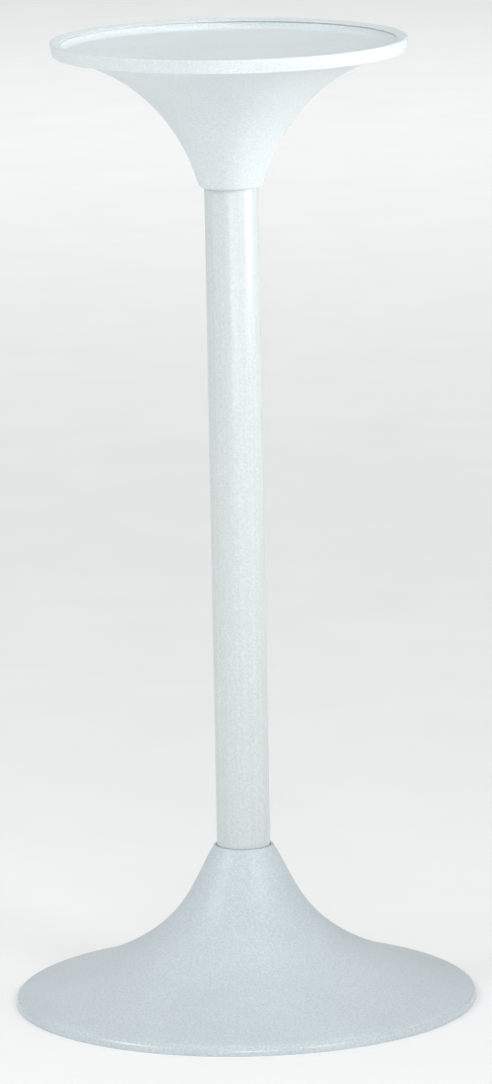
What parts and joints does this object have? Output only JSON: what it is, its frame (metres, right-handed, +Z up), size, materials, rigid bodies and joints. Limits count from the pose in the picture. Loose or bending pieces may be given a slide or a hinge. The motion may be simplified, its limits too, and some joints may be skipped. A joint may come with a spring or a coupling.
{
  "type": "display pedestal",
  "caption": "White moulded-plastic display pedestal: trumpet-shaped base, straight round tube and flared top carrying a shallow round tray.",
  "frame": {"origin": "on the floor, at the middle of the base's round lower edge", "axes": "+Z up along the tube; X and Y level, and alike because every piece is round"},
  "size_m": [0.347, 0.347, 0.727],
  "materials": {
    "base_plastic": "satin white injection-moulded plastic",
    "tube_plastic": "satin off-white extruded plastic pipe",
    "funnel_plastic": "satin white injection-moulded plastic",
    "tray_plastic": "satin white injection-moulded plastic"
  },
  "bodies": {
    "root": {"base": "base_plastic", "tube": "tube_plastic", "funnel": "funnel_plastic", "tray": "tray_plastic"}
  },
  "joints": []
}
